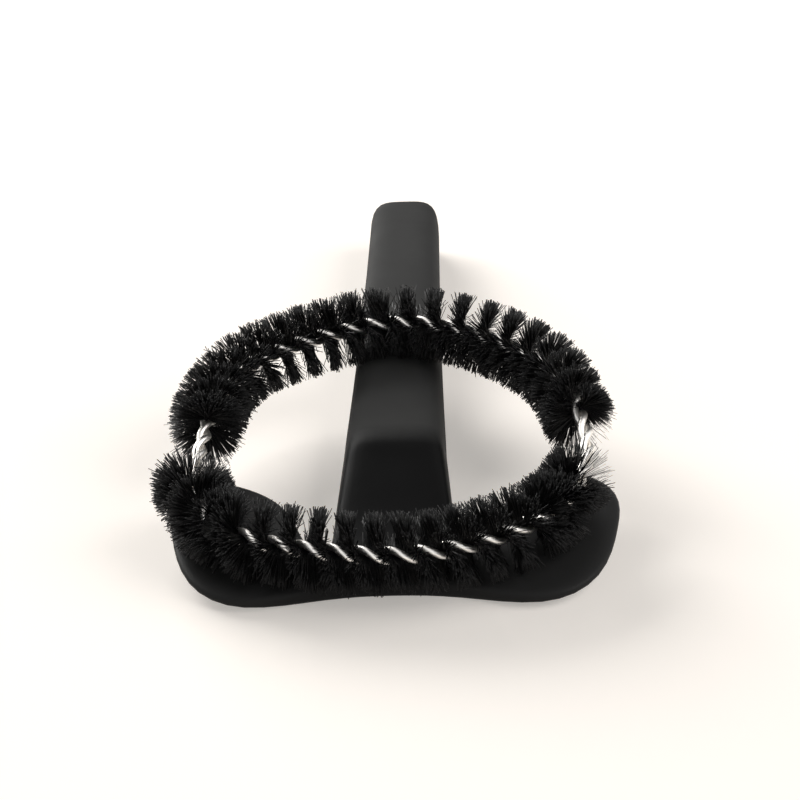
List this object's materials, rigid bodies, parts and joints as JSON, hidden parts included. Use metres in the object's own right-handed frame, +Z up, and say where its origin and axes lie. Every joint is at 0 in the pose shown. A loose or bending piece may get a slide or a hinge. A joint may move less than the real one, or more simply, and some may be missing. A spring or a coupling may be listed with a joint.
{
  "type": "group head brush",
  "caption": "Ring of black nylon bristles in twisted steel wire on a moulded handle with a two-lobed shield, for scrubbing a round coffee group head.",
  "frame": {"origin": "centre of the flat pad under the shield, on the table plane", "axes": "+Y along the handle to its far end, +Z up through the ring, X across the shield's lobes"},
  "size_m": [0.0771, 0.146, 0.0246],
  "materials": {
    "black_plastic": "matt moulded black",
    "steel_wire": "bright drawn wire",
    "black_nylon": "satin black filament"
  },
  "bodies": {
    "root": {"handle": "black_plastic", "wire_strand_a": "steel_wire", "wire_strand_b": "steel_wire", "near_left_end_bristles": "black_nylon", "near_right_end_bristles": "black_nylon", "near_bristles_1": "black_nylon", "near_bristles_2": "black_nylon", "near_bristles_3": "black_nylon", "near_bristles_4": "black_nylon", "far_bristles_1": "black_nylon", "far_bristles_2": "black_nylon", "far_bristles_3": "black_nylon", "far_bristles_4": "black_nylon", "far_bristles_5": "black_nylon", "far_bristles_6": "black_nylon"}
  },
  "joints": []
}
